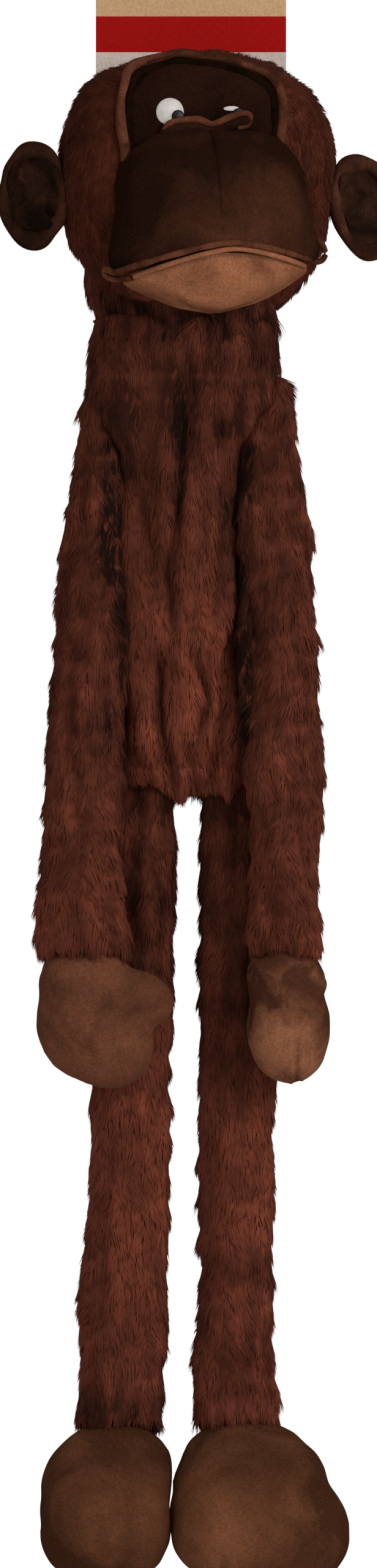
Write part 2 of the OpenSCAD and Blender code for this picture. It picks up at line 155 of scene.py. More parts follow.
# ---- Meshes ----

def closed_form(rings):
    """Points and triangles of a closed form over rings of equal count, from one end to the other."""
    rows, sides = rings.shape[:2]
    points = np.vstack([rings.reshape(-1, 3), rings[0].mean(0), rings[-1].mean(0)])
    j, i = np.meshgrid(np.arange(rows - 1), np.arange(sides), indexing="ij")
    a, b = j * sides + i, j * sides + (i + 1) % sides
    walls = [np.stack([a, a + sides, b + sides], -1), np.stack([a, b + sides, b], -1)]
    k = np.arange(sides)
    n = (k + 1) % sides
    last = (rows - 1) * sides
    top = np.stack([np.full(sides, rows * sides), k, n], -1)
    bottom = np.stack([np.full(sides, rows * sides + 1), last + n, last + k], -1)
    return points, np.vstack([w.reshape(-1, 3) for w in walls] + [top, bottom])


def sheet(front, back):
    """Points and triangles of a thick sheet between two grids of the same rows and columns."""
    rows, cols = front.shape[:2]
    half = rows * cols
    r, c = np.meshgrid(np.arange(rows - 1), np.arange(cols - 1), indexing="ij")
    p = (r * cols + c).ravel()
    faces = [np.stack([p, p + 1, p + cols + 1], -1), np.stack([p, p + cols + 1, p + cols], -1),
             np.stack([half + p, half + p + cols + 1, half + p + 1], -1),
             np.stack([half + p, half + p + cols, half + p + cols + 1], -1)]
    edge = np.concatenate([np.arange(cols - 1), np.arange(rows - 1) * cols + cols - 1,
                           (rows - 1) * cols + np.arange(cols - 1, 0, -1),
                           np.arange(rows - 1, 0, -1) * cols])
    after = np.roll(edge, -1)
    faces += [np.stack([edge, half + edge, half + after], -1), np.stack([edge, half + after, after], -1)]
    return np.vstack([front.reshape(-1, 3), back.reshape(-1, 3)]), np.vstack(faces)


def vertex_normals(points, triangles):
    """The unit normal at each point, from the triangles that meet there."""
    corner = points[triangles]
    face = np.cross(corner[:, 1] - corner[:, 0], corner[:, 2] - corner[:, 0])
    total = np.zeros_like(points)
    for k in range(3):
        np.add.at(total, triangles[:, k], face)
    return total / np.maximum(np.linalg.norm(total, axis=1), 1e-9)[:, None]


def swell(points, triangles, amount):
    """The points moved out along their normals by amount."""
    return points + vertex_normals(points, triangles) * np.asarray(amount)[:, None]


def mesh_object(name, points, triangles, materials, shade=None):
    """A new object from arrays of points and triangles, with a material index for each triangle."""
    mesh = bpy.data.meshes.new(name)
    count = len(triangles)
    mesh.vertices.add(len(points))
    mesh.vertices.foreach_set("co", (np.asarray(points) * MM).astype(np.float32).ravel())
    mesh.loops.add(count * 3)
    mesh.loops.foreach_set("vertex_index", np.asarray(triangles, np.int32).ravel())
    mesh.polygons.add(count)
    mesh.polygons.foreach_set("loop_start", np.arange(0, count * 3, 3, dtype=np.int32))
    for material in materials:
        mesh.materials.append(material)
    if shade is not None:
        mesh.polygons.foreach_set("material_index", np.asarray(shade, np.int32))
    mesh.polygons.foreach_set("use_smooth", np.full(count, True))
    mesh.update(calc_edges=True)
    obj = bpy.data.objects.new(name, mesh)
    bpy.context.scene.collection.objects.link(obj)
    return obj


def outward(obj):
    """Welds a mesh's doubled points and turns its faces outward."""
    bm = bmesh.new()
    bm.from_mesh(obj.data)
    bmesh.ops.remove_doubles(bm, verts=bm.verts, dist=0.02 * MM)
    bmesh.ops.recalc_face_normals(bm, faces=bm.faces)
    bm.to_mesh(obj.data)
    bm.free()
    return obj


def ovals(rows, sides, n=2.2):
    """Level rings from rows of height, left, right, front and back."""
    angle = np.arange(sides) / sides * 2 * math.pi
    x, y = power(np.cos(angle), n), power(np.sin(angle), n)
    z, left, right, front, back = (np.asarray(c, float)[:, None] for c in np.transpose(rows))
    shape = (len(rows), sides)
    return np.stack([(left + right) / 2 + (right - left) / 2 * x,
                     (front + back) / 2 + (back - front) / 2 * y,
                     np.broadcast_to(z, shape)], -1)


def rope(path, radius, sides=10, out=(0, -1, 0)):
    """Points and triangles of a soft welt along a path. out is a way that its ring leans to."""
    path = np.asarray(path, float)
    radius = np.broadcast_to(np.asarray(radius, float), len(path))
    along = np.gradient(path, axis=0)
    along /= np.linalg.norm(along, axis=1)[:, None]
    side = np.cross(along, np.array(out, float))
    side /= np.linalg.norm(side, axis=1)[:, None]
    up = np.cross(side, along)
    angle = np.arange(sides) / sides * 2 * math.pi
    rings = (path[:, None] + radius[:, None, None]
             * (np.cos(angle)[None, :, None] * side[:, None]
                + np.sin(angle)[None, :, None] * up[:, None]))
    return closed_form(rings)


# ---- Materials ----

def linear(*srgb):
    """A colour given as 0 to 255 in sRGB, as linear RGBA."""
    c = np.array(srgb, float) / 255
    c = np.where(c <= 0.04045, c / 12.92, ((c + 0.055) / 1.055) ** 2.4)
    return (*c, 1.0)


class Nodes:
    """A material's node tree, with short ways to add nodes."""

    def __init__(self, name):
        self.material = bpy.data.materials.new(name)
        self.material.use_nodes = True
        self.tree = self.material.node_tree
        self.shader = self.tree.nodes["Principled BSDF"]
        self.place = self.add("ShaderNodeTexCoord").outputs["Object"]

    def add(self, kind, **inputs):
        """A new node, with values for its named inputs."""
        node = self.tree.nodes.new(kind)
        for key, value in inputs.items():
            node.inputs[key].default_value = value
        return node

    def link(self, source, target):
        self.tree.links.new(source, target)

    def noise(self, size, detail=3.0, roughness=0.55, distortion=0.0):
        """Noise whose patches are about size millimetres across."""
        node = self.add("ShaderNodeTexNoise", Scale=1 / (2 * size * MM), Detail=detail,
                        Roughness=roughness, Distortion=distortion)
        self.link(self.place, node.inputs["Vector"])
        return node.outputs["Fac"]

    def ramp(self, source, stops):
        """The colour that source picks between stops, each a position and a colour."""
        node = self.add("ShaderNodeValToRGB")
        elements = node.color_ramp.elements
        while len(elements) < len(stops):
            elements.new(0.5)
        for element, (at, colour) in zip(elements, stops):
            element.position = at
            element.color = colour
        self.link(source, node.inputs["Fac"])
        return node.outputs["Color"]

    def mix(self, kind, share, first, second):
        """A colour mix of two sources, of which either may be a plain colour."""
        node = self.add("ShaderNodeMix")
        node.data_type = "RGBA"
        node.blend_type = kind
        node.inputs["Factor"].default_value = share
        for socket, source in ((node.inputs["A"], first), (node.inputs["B"], second)):
            if isinstance(source, tuple):
                socket.default_value = source
            else:
                self.link(source, socket)
        return node

    def bump(self, source, strength, height):
        """Unevenness of the surface, height millimetres deep."""
        node = self.add("ShaderNodeBump", Strength=strength, Distance=height * MM)
        self.link(source, node.inputs["Height"])
        self.link(node.outputs["Normal"], self.shader.inputs["Normal"])

    def finish(self, roughness, specular=0.5):
        """The material, once its plain shader values are set."""
        self.shader.inputs["Roughness"].default_value = roughness
        self.shader.inputs["Specular IOR Level"].default_value = specular
        return self.material


# How much painted shade lies far from a plush's lit place, and how much painted light lies near it.
PAINTED_SHADE_FAR, PAINTED_LIGHT_NEAR = -0.16, 0.34


def plush(name, dark, light, patch=16, low=0.36, high=0.66, nap=0.5, painted_light=None):
    """Short brushed plush: patches where the nap lies one way or the other, and fine pile.
    The optional place, in millimetres, and reach give a pool of painted light round that place, with painted
    shade farther off."""
    m = Nodes(name)
    patches = m.noise(patch, 3.0, 0.6, 0.6)
    if painted_light:
        centre, reach = painted_light
        away = m.add("ShaderNodeVectorMath")
        away.operation = "DISTANCE"
        m.link(m.place, away.inputs[0])
        away.inputs[1].default_value = tuple(np.array(centre) * MM)
        near = m.add("ShaderNodeMapRange")
        m.link(away.outputs["Value"], near.inputs["Value"])
        spread = {"From Min": reach * MM, "From Max": 0.0, "To Min": PAINTED_SHADE_FAR, "To Max": PAINTED_LIGHT_NEAR}
        for key, value in spread.items():
            near.inputs[key].default_value = value
        total = m.add("ShaderNodeMath")
        total.operation = "ADD"
        m.link(patches, total.inputs[0])
        m.link(near.outputs["Result"], total.inputs[1])
        patches = total.outputs["Value"]
    colour = m.ramp(patches, [(low, linear(*dark)), (high, linear(*light))])
    pile = m.noise(0.9, 2.0, 0.7)
    grain = m.ramp(pile, [(0.3, (0.72, 0.72, 0.72, 1)), (0.7, (1.18, 1.18, 1.18, 1))])
    mixed = m.mix("MULTIPLY", 1.0, colour, grain)
    m.link(mixed.outputs["Result"], m.shader.inputs["Base Color"])
    m.bump(pile, nap, 0.7)
    return m.finish(0.95, specular=0.0)


def fur_shades(name, dark, light, count=8):
    """Plain shades of one fur, from its roots to its sunlit tips. The pile's pattern is in its strands."""
    shades = []
    for k in range(count):
        t = k / (count - 1)
        colour = [a + (b - a) * t for a, b in zip(linear(*dark), linear(*light))]
        m = Nodes(f"{name}_{k}")
        m.shader.inputs["Base Color"].default_value = colour
        shades.append(m.finish(0.8, specular=0.03))
    return shades


def undercoat():
    """The dense dark pile under the long fur."""
    m = Nodes("undercoat")
    tufts = m.noise(4, 4.0, 0.65, 0.8)
    colour = m.ramp(tufts, [(0.3, linear(37, 16, 10)), (0.7, linear(64, 30, 20))])
    m.link(colour, m.shader.inputs["Base Color"])
    m.bump(tufts, 0.7, 2.0)
    return m.finish(0.95, specular=0.0)


def card_face():
    """Printed card: a plain brown top, one coloured band and a plain grey lower part, with paper grain."""
    top, foot = -37.5 * MM, -63.5 * MM
    m = Nodes("printed_card")
    height = m.add("ShaderNodeSeparateXYZ")
    m.link(m.place, height.inputs["Vector"])
    fibres = m.noise(0.8, 4.0, 0.7)
    kraft = m.ramp(fibres, [(0.3, linear(126, 98, 70)), (0.7, linear(150, 122, 91))])
    band = m.ramp(fibres, [(0.3, linear(100, 5, 3)), (0.7, linear(122, 7, 5))])
    grey = m.ramp(fibres, [(0.3, linear(130, 118, 110)), (0.7, linear(152, 140, 132))])
    colour = kraft
    for level, below in ((top, band), (foot, grey)):
        under = m.add("ShaderNodeMath")
        under.operation = "LESS_THAN"
        m.link(height.outputs["Z"], under.inputs[0])
        under.inputs[1].default_value = level
        step = m.mix("MIX", 0.5, colour, below)
        m.link(under.outputs["Value"], step.inputs["Factor"])
        colour = step.outputs["Result"]
    m.link(colour, m.shader.inputs["Base Color"])
    m.bump(fibres, 0.15, 0.1)
    return m.finish(0.7, specular=0.03)


def moulded(name, dark, light, roughness, specular=0.5, clear=0.0):
    """Moulded plastic with faint mottling and a slightly uneven skin."""
    m = Nodes(name)
    cloud = m.noise(3)
    colour = m.ramp(cloud, [(0.3, linear(*dark)), (0.7, linear(*light))])
    m.link(colour, m.shader.inputs["Base Color"])
    m.bump(cloud, 0.05, 0.1)
    m.shader.inputs["Transmission Weight"].default_value = clear
    return m.finish(roughness, specular=specular)


def stage_paint():
    m = Nodes("stage")
    m.shader.inputs["Base Color"].default_value = (0.9, 0.9, 0.9, 1)
    return m.finish(0.9, specular=0.1)


FUR = fur_shades("fur", (19, 8, 5), (101, 50, 35), 11)
HEAD_FUR = fur_shades("head_fur", (14, 5, 3), (70, 31, 19), 10)
UNDERCOAT = undercoat()
FOREHEAD = plush("forehead_plush", (14, 6, 4), (28, 13, 8), 24, 0.28, 0.8)
# Painted light on the lower muzzle towards the monkey's left, with painted shade towards its top and sides.
MUZZLE = plush("muzzle_plush", (22, 10, 6), (52, 28, 17), 30, 0.32, 0.94,
               painted_light=(from_head([22, -96, -50]), 70))
TRIM = plush("trim_plush", (40, 20, 12), (72, 40, 28), 12)
# Near-black plush for the painted shadow inside the brow ridge.
PAINTED_SHADOW_PLUSH = plush("painted_shadow_plush", (9, 4, 2), (18, 8, 5), 14)
JAW = plush("jaw_plush", (76, 45, 29), (107, 67, 46), 22)
HAND = plush("hand_plush", (52, 29, 19), (77, 45, 31), 20, 0.32, 0.7)
# Painted light on the lower palm, with painted shade at its top under the fur.
PALM = plush("palm_plush", (50, 27, 18), (97, 61, 42), 16, 0.34, 0.72,
             painted_light=(pivot("left_wrist") + [4, -26, -68], 54))
# Painted light low on the front of the feet, with painted shade farther from it.
FOOT = plush("foot_plush", (44, 24, 14), (82, 49, 32), 24, 0.28, 0.86,
             painted_light=(pivot("left_ankle") + [-16, -60, -74], 80))
# Lit and shaded copies of one plush: the left ear's is painted lit, and the right ear's is painted in shade.
EAR_SKIN_LIT_AND_SHADED = {"left": plush("left_ear_lit_plush", (28, 14, 9), (58, 32, 22), 14, 0.34, 0.74),
            "right": plush("right_ear_shaded_plush", (20, 10, 6), (45, 24, 16), 14, 0.34, 0.74)}
EAR_BOWL_LIT_AND_SHADED = {"left": plush("left_ear_bowl_lit_plush", (18, 10, 6), (52, 29, 20), 13, 0.34, 0.8),
            "right": plush("right_ear_bowl_shaded_plush", (11, 6, 4), (36, 19, 13), 13, 0.34, 0.8)}


# ---- Fur ----

FLAT_CAP = 0.96
ROOT_DEPTH = 0.6
CLOTH_WANDER, TUFT_LEAN, STRAND_LEAN = 0.17, 0.13, 0.08
MIDDLE_SHADE, DARKEST_PATCH = 0.51, 0.36
PATCH_SHADE, STREAK_SHADE, TUFT_SHADE, STRAND_SHADE = 0.10, 0.14, 0.03, 0.05


def strands(name, skin, shades, seed, spacing=1.65, length=12.0, width=1.15, lift=0.15,
            keep=None, comb=None, tuft=9.0, bright=None):
    """Tapered strands rooted all over a skin, lying along comb and gathered into soft tufts.
    keep says which roots grow, comb which way they lie (down, if it isn't given), and bright how
    much paler they are. Without a comb, no strand grows on the flat ends of the skin."""
    points, triangles = skin
    rng = np.random.default_rng(seed)
    corner = points[triangles]
    face = np.cross(corner[:, 1] - corner[:, 0], corner[:, 2] - corner[:, 0])
    area = np.linalg.norm(face, axis=1)
    if comb is None:
        walls = np.abs(face[:, 2]) < FLAT_CAP * area
        triangles, corner, area = triangles[walls], corner[walls], area[walls]
    count = int(area.sum() / 2 / spacing ** 2)
    chosen = rng.choice(len(triangles), count, p=area / area.sum())
    r, s = np.sqrt(rng.random(count)), rng.random(count)
    share = np.stack([1 - r, r * (1 - s), r * s], -1)[:, :, None]
    root = (corner[chosen] * share).sum(1)
    normal = (vertex_normals(points, triangles)[triangles[chosen]] * share).sum(1)
    if keep is not None:
        kept = keep(root)
        root, normal = root[kept], normal[kept]
    normal /= np.linalg.norm(normal, axis=1)[:, None]
    count = len(root)

    leaders = rng.choice(count, max(int(count * (spacing / tuft) ** 2), 4), replace=False)
    tree = kdtree.KDTree(len(leaders))
    for k, p in enumerate(root[leaders]):
        tree.insert(p, k)
    tree.balance()
    leader = np.array([tree.find(p)[1] for p in root])
    lean = rng.normal(0, TUFT_LEAN, (len(leaders), 3))
    rise = rng.uniform(0.6, 1.5, len(leaders))
    reach = rng.uniform(0.8, 1.2, len(leaders))
    tone = rng.normal(0, 1, len(leaders))

    way = np.tile(DOWN, (count, 1)) if comb is None else comb(root)
    way = way + CLOTH_WANDER * np.stack([waves(root, 24, seed + k) for k in (1, 2, 3)], -1)
    way = way + lean[leader] + rng.normal(0, STRAND_LEAN, (count, 3))
    way -= (way * normal).sum(1)[:, None] * normal
    way /= np.maximum(np.linalg.norm(way, axis=1), 1e-6)[:, None]
    size = length * reach[leader] * rng.uniform(0.75, 1.15, count)
    high = size * lift * rise[leader] * rng.uniform(0.7, 1.3, count)
    tip = root + way * (size * 0.95)[:, None] + normal * high[:, None]
    pull = rng.uniform(0.15, 0.5, count)[:, None]
    tip += (tip[leaders][leader] - tip) * pull

    side = np.cross(way, normal)
    half = (width / 2 * rng.uniform(0.7, 1.25, count))[:, None]
    base = root - normal * ROOT_DEPTH
    blades = np.stack([base - side * half, base + side * half, base + normal * half * 1.6, tip], 1)
    pattern = np.array([[0, 1, 2], [0, 3, 1], [1, 3, 2], [2, 3, 0]])
    faces = (np.arange(count) * 4)[:, None, None] + pattern[None]

    steps = len(shades)
    patches = PATCH_SHADE * waves(root, 26, seed + 7, (1, 1, 1.5))
    streaks = STREAK_SHADE * waves(root, 6, seed + 8, (1, 1, 4))
    level = MIDDLE_SHADE + patches + streaks + TUFT_SHADE * tone[leader]
    level = np.maximum(level + rng.normal(0, STRAND_SHADE, count), DARKEST_PATCH)
    if bright is not None:
        level = level + bright(root)
    shade = np.clip(np.round(level * (steps - 1)), 0, steps - 1).astype(int)
    obj = mesh_object(name, blades.reshape(-1, 3), faces.reshape(-1, 3), shades, np.repeat(shade, 4))
    facing = normal + 0.25 * way
    facing /= np.linalg.norm(facing, axis=1)[:, None]
    obj.data.normals_split_custom_set_from_vertices(np.repeat(facing, 4, axis=0))
    return obj


# ---- Camera, light and stage ----

def stage_and_camera():
    """A long lens straight in front, soft light from the upper front, and a pale floor below."""
    frame_height = 1126
    centre_x, centre_z = -1.8, -594
    distance = 12000
    toy_y = -115
    lens = bpy.data.cameras.new("camera")
    lens.sensor_width = 36
    lens.lens = 36 * distance / frame_height
    camera = bpy.data.objects.new("camera", lens)
    camera.location = Vector((centre_x, toy_y - distance, centre_z)) * MM
    camera.rotation_euler = (math.radians(90), 0, 0)
    bpy.context.scene.collection.objects.link(camera)
    bpy.context.scene.camera = camera

    target = Vector((0, -0.06, -0.6))
    lights = {"key": ((1.9, -3.0, 0.7), 150, 1.4), "fill": ((-2.6, -2.4, -0.6), 20, 2.4)}
    for name, (spot, watts, size) in lights.items():
        light = bpy.data.lights.new(name, "AREA")
        light.energy = watts
        light.size = size
        lamp = bpy.data.objects.new(name, light)
        lamp.location = spot
        lamp.rotation_euler = (target - lamp.location).to_track_quat("-Z", "Y").to_euler()
        bpy.context.scene.collection.objects.link(lamp)

    world = bpy.data.worlds.new("studio")
    world.use_nodes = True
    world.node_tree.nodes["Background"].inputs["Color"].default_value = (1, 1, 1, 1)
    world.node_tree.nodes["Background"].inputs["Strength"].default_value = 1.0
    bpy.context.scene.world = world
    bpy.context.scene.view_settings.view_transform = "Standard"

    floor_z = -1450
    reach, behind = 3000, 2200
    corners = np.array([[-reach, -reach, floor_z], [reach, -reach, floor_z],
                        [reach, behind, floor_z], [-reach, behind, floor_z]], float)
    floor = mesh_object("floor", corners, np.array([[0, 1, 2], [0, 2, 3]]), [stage_paint()])


stage_and_camera()


def place(obj, slot, body=None, between=None, fill=None, replaces=()):
    """Attaches a finished piece to what moves it, bakes its place into its mesh when it lies between two
    bodies, and hides the CAD nodes it stands for; its slot and how full it is are not used.
    """
    if body:
        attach(obj, body)
    if between:
        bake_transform(obj)
    if replaces:
        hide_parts(*replaces)


def furry(name, skin, seed, shades=FUR, body=None, between=None, fill=0.6, replaces=(), **fur):
    """A stuffed skin of dark undercoat, and the long fur that grows on it."""
    coat = mesh_object(f"{name}_undercoat", *skin, [UNDERCOAT])
    place(coat, "fur", body, between, fill, replaces)
    pile = strands(f"{name}_fur", skin, shades, seed, **fur)
    place(pile, "fur", body, between)


def head_piece(name, skin, material, slot, body="head", **more):
    """A finished piece that rides on the head, or on an ear, from its points and triangles."""
    place(outward(mesh_object(name, *skin, [material])), slot, body, **more)


# ---- Head ----

HEAD_A, HEAD_B, HEAD_C, HEAD_LOW = 99.0, 58.0, 85.5, 118.0
HEAD_BEND, HEAD_LOW_BEND = 2.5, 2.1
FACE_FLAT = 46.0
FACE_MID = 22.0


def flattened(depth):
    """How far forward the face stands where a full round head would stand depth."""
    depth = np.maximum(depth, 0.5)
    return (depth ** -9 + FACE_FLAT ** -9) ** (-1 / 9)


def head_shape(way):
    """Points of the head's skin in the directions way from its centre."""
    x, y, z = way.T
    tall = np.where(z > 0, HEAD_C, HEAD_LOW)
    bend = np.where(z > 0, HEAD_BEND, HEAD_LOW_BEND)
    outline = (np.abs(x / HEAD_A) ** bend + np.abs(z / tall) ** bend) ** (2 / bend)
    points = way / np.sqrt(outline + (y / HEAD_B) ** 2)[:, None]
    points[:, 1] = np.where(points[:, 1] < 0, -flattened(-points[:, 1]), points[:, 1])
    return points


def face_depth(x, z):
    """How far forward of the head's centre the face stands at x, z."""
    bend = np.where(z > 0, HEAD_BEND, HEAD_LOW_BEND)
    left = 1 - np.abs(x / HEAD_A) ** bend - np.abs(z / np.where(z > 0, HEAD_C, HEAD_LOW)) ** bend
    return flattened(HEAD_B * np.sqrt(np.clip(left, 0.0, 1)))


def head_skin():
    """The head's skin, with the soft lumps of its filling."""
    rows, sides = 64, 110
    tilt = np.linspace(0.02, math.pi - 0.02, rows)[:, None]
    angle = np.arange(sides)[None] / sides * 2 * math.pi
    way = np.stack([np.sin(tilt) * np.cos(angle), np.sin(tilt) * np.sin(angle),
                    np.cos(tilt) * np.ones_like(angle)], -1).reshape(-1, 3)
    points, triangles = closed_form(head_shape(way).reshape(rows, sides, 3))
    points = swell(points, triangles, 1.6 * waves(points, 22, 11))
    return from_head(points), triangles


def inside_face(local, scale=1.0):
    """Which points near the head's front lie under the face, the muzzle or the jaw."""
    x, y, z = local.T
    brow = (np.abs(x) / 60) ** 2.6 + (np.abs(z - FACE_MID) / 60) ** 2.6 < scale
    muzzle = (np.abs(x) / 72) ** 2.6 + (np.abs(z + 45) / 62) ** 2.6 < scale * 0.8
    return (y < 0) & (((z > FACE_MID - 5) & brow) | muzzle)


def comb_head(root):
    """Down the sides, and away from the face at the crown."""
    local = to_head(root)
    away = local - np.array([0, -40, FACE_MID])
    away /= np.linalg.norm(away, axis=1)[:, None]
    share = smoothstep(local[:, 2], 25, 75)[:, None]
    return away @ HEAD_AXES.T * share + DOWN * (1 - share)


def make_head():
    """The furry back and sides of the head, bare under the face."""
    furry("head", head_skin(), 21, HEAD_FUR, body="head", replaces=("head_skin", "head_stuffing"), fill=0.8,
          length=8.0, lift=0.24, comb=comb_head, keep=lambda p: ~inside_face(to_head(p)))


def forehead():
    """The dark face inside the brow ridge, from the crown down behind the muzzle: a padded patch."""
    rings, sides, thick = 26, 90, 3.0
    half_width, above, below = 58, 59, 50
    angle = np.arange(sides) / sides * 2 * math.pi
    c, s = power(np.cos(angle), 2.5), power(np.sin(angle), 2.5)
    share = np.linspace(0.02, 1, rings)[:, None] ** 0.9
    x = share * (half_width * c)[None]
    z = FACE_MID + share * (np.where(s > 0, above, below) * s)[None]
    soft = waves(np.stack([x.ravel(), z.ravel(), 0 * x.ravel()], -1), 17, 31).reshape(x.shape)
    y = -(face_depth(x, z) + 2.2 + 1.1 * soft * (1 - share) ** 0.3)
    front = np.stack([x, y, z], -1)
    back = front[::-1] + np.array([0, thick, 0])
    points, triangles = closed_form(np.concatenate([front, back]))
    head_piece("forehead", (from_head(points), triangles), FOREHEAD, "dark_plush", fill=0.5,
               replaces=("face_panel",))


BROW = np.array([[54, 14], [57.5, 38], [55, 59], [40, 71], [18, 80], [-12, 84.5], [-38, 81],
                 [-52, 72], [-60, 53], [-61, 30], [-58, 8]], float)


def brow_path(count, inset=0.0, proud=2.4):
    """A path round the top of the face, from the monkey's left over the crown to its right."""
    x, z = smooth_path(BROW, count).T
    away = np.hypot(x, z - FACE_MID)
    x = x - inset * x / away
    z = z - inset * (z - FACE_MID) / away
    return np.stack([x, -face_depth(x, np.minimum(z, HEAD_C - 2)) - proud, z], -1)


def brow_ridge():
    """A folded band round the face with a lit crest, and inside it a thinner near-black welt that is painted
    shadow.
    """
    crest = brow_path(90)
    crest += 1.2 * np.stack([waves(crest, 15, k) for k in (41, 42, 43)], -1)
    radius = 3.4 + 0.6 * waves(crest, 16, 44)
    head_piece("brow_band", rope(from_head(crest), radius, 12), TRIM, "trim_plush",
               replaces=("brow_ridge",))
    # The inner welt is painted shadow between the ridge and the forehead.
    inner = brow_path(70, 6.2, 1.4)
    inner += 0.8 * np.stack([waves(inner, 11, k) for k in (45, 46, 47)], -1)
    head_piece("brow_inner_painted_shadow", rope(from_head(inner), 3.0, 10), PAINTED_SHADOW_PLUSH, "dark_plush")


MUZZLE_A, MUZZLE_C, MUZZLE_OUT = 74.5, 76.0, 61.0
MUZZLE_Y, MUZZLE_Z = -45.0, -45.0
MUZZLE_FOCUS = np.array([0, -40, MUZZLE_Z])
FLARE_AT = [-60, -19, 17, 30]
MUZZLE_FLARE = {1: (FLARE_AT, [1.05, 0.985, 1.08, 1.1]), -1: (FLARE_AT, [0.99, 0.92, 1.05, 1.1])}
LIP_TOP, LIP_DROP, LIP_MID = -54.0, 17.0, 6.0


def lip(x):
    """Height of the mouth's line at x."""
    return LIP_TOP - LIP_DROP * ((((x - LIP_MID) / 75) ** 2 + 0.004) ** 0.68 - 0.02)


def muzzle_half(side):
    """Half the muzzle's plush, from the middle seam out to the mouth's corner, as a thick curved sheet."""
    rows, cols, thick = 34, 64, 3.0
    share = np.linspace(0.0, 1, rows)[:, None]
    t = np.radians(np.linspace(90, -90, cols))[None]
    k = np.sin(share * math.pi / 2)
    c, s = power(np.cos(t), 2.5), power(np.sin(t), 2.5)
    x = MUZZLE_A * k * c
    z = MUZZLE_Z + MUZZLE_C * k * s
    y = MUZZLE_Y - MUZZLE_OUT * np.cos(share * math.pi / 2) + 0 * x
    x = x * np.interp(z, *MUZZLE_FLARE[side])
    z = np.maximum(z, lip(side * x))
    front = np.stack([x, y, z], -1)
    flat = front.reshape(-1, 3)
    clear = smoothstep(flat[:, 2] - lip(side * flat[:, 0]), 0, 14)
    seam = np.exp(-(flat[:, 0] / 2.4) ** 2)
    placed = flat * np.array([side, 1, 1])
    soft = 1.5 * waves(placed, 19, 51) + 0.5 * waves(placed, 8, 52)
    way = flat - MUZZLE_FOCUS
    way /= np.linalg.norm(way, axis=1)[:, None]
    flat = flat + way * (clear * (soft * (1 - seam) - 0.9 * seam))[:, None]
    flat[:, 0] = np.maximum(flat[:, 0], 0.0)
    front = flat.reshape(rows, cols, 3)
    back = front - way.reshape(rows, cols, 3) * thick
    back[..., 0] = np.maximum(back[..., 0], 0.0)
    for grid in (front, back):
        grid[..., 0] *= side
    return sheet(front, back)


def muzzle():
    """The muzzle's two panels. The left one also stands for the filling that they share."""
    for name, side in (("left", 1), ("right", -1)):
        points, triangles = muzzle_half(side)
        nodes = (f"muzzle_{name}_panel",) + (("muzzle_stuffing",) if side == 1 else ())
        head_piece(f"muzzle_{name}", (from_head(points), triangles), MUZZLE, "dark_plush", fill=0.8,
                   replaces=nodes)


def mouth_path(count, drop, inset=0.0, reach=86.0):
    """A path along the mouth from the right corner to the left, drop below its line."""
    t = np.radians(np.linspace(-reach, reach, count))
    a = MUZZLE_A - inset
    x = a * np.sin(t)
    y = MUZZLE_Y - (MUZZLE_OUT - inset) * np.cos(t)
    return np.stack([x, y, lip(x) - drop], -1)


def lips():
    """The muzzle's rolled lower edge and the welt on the jaw, which meet in a loop at each corner."""
    upper = mouth_path(60, 0.4, 0.5, 76)
    left = np.array([[76, -53, -68.5], [81, -50, -67.5], [84, -48, -63], [82, -48, -56],
                     [76.5, -50, -51]])
    right = np.array([[-60, -66, -76.5], [-68, -58, -77], [-74, -51, -75.5], [-77, -48, -72],
                      [-76, -50, -69.5]])
    path = smooth_path(np.vstack([right, upper, left]), 160)
    radius = 2.3 + 0.3 * waves(path, 10, 55)
    head_piece("upper_lip", rope(from_head(path), radius, 10, out=(0, 0.2, 1)), TRIM, "trim_plush")
    path = mouth_path(100, 4.6, 2.5, 66)
    path[:, 2] -= 1.5 * np.abs(path[:, 0] / 75) ** 3
    path[:, 0] = 3 + path[:, 0] * 0.94
    head_piece("lower_lip", rope(from_head(path), 2.0, 10, out=(0, 0, 1)), JAW, "trim_plush",
               replaces=("lip_welt",))


def jaw():
    """The pale pouch under the mouth."""
    rows, sides = 22, 72
    middle, hinge, lowest, under_lip = 3.0, -46, -102, 5.5
    v = np.linspace(0, 1, rows)
    wide = 62 * np.sqrt(np.clip(1 - v ** 3.4, 0, 1)) + 5
    front = 98 - 22 * v ** 2
    angle = np.arange(sides) / sides * 2 * math.pi
    rings = []
    for k in range(rows):
        x = middle + wide[k] * np.cos(angle)
        reach = np.where(np.sin(angle) < 0, front[k] + hinge, 8)
        y = hinge + reach * np.sin(angle)
        z = (1 - v[k]) * (lip(x) - under_lip) + v[k] * (lowest + 0.004 * x ** 2)
        rings.append(np.stack([x, y, z], -1))
    points, triangles = closed_form(np.array(rings))
    points = swell(points, triangles, 1.2 * waves(points, 16, 61, (1.8, 1, 1)))
    head_piece("jaw_pouch", (from_head(points), triangles), JAW, "jaw_plush", fill=0.7,
               replaces=("lower_jaw",))


def nose():
    """The pinched fold over the muzzle, and the softer roll that carries it."""
    path = np.array([[-31, -50, 25.5], [-30, -53, 30], [-26, -55, 34.5], [-17, -56, 36], [-7, -57, 36],
                     [2, -58, 32.5], [8, -57, 33.5], [15, -56, 36.5], [25.5, -54, 39.5], [32, -51, 38],
                     [31, -51, 31.5], [22, -54, 29]], float)
    path = smooth_path(path, 90)
    radius = 2.4 + 0.4 * waves(path, 8, 71)
    head_piece("nose_crest", rope(from_head(path), radius, 10), TRIM, "trim_plush",
               replaces=("nose_fold",))
    under = path[6:-16] + [0, 3.0, -5.5]
    radius = 5.0 + 0.6 * waves(under, 11, 72)
    head_piece("nose_bridge", rope(from_head(under), radius, 12), MUZZLE, "dark_plush")


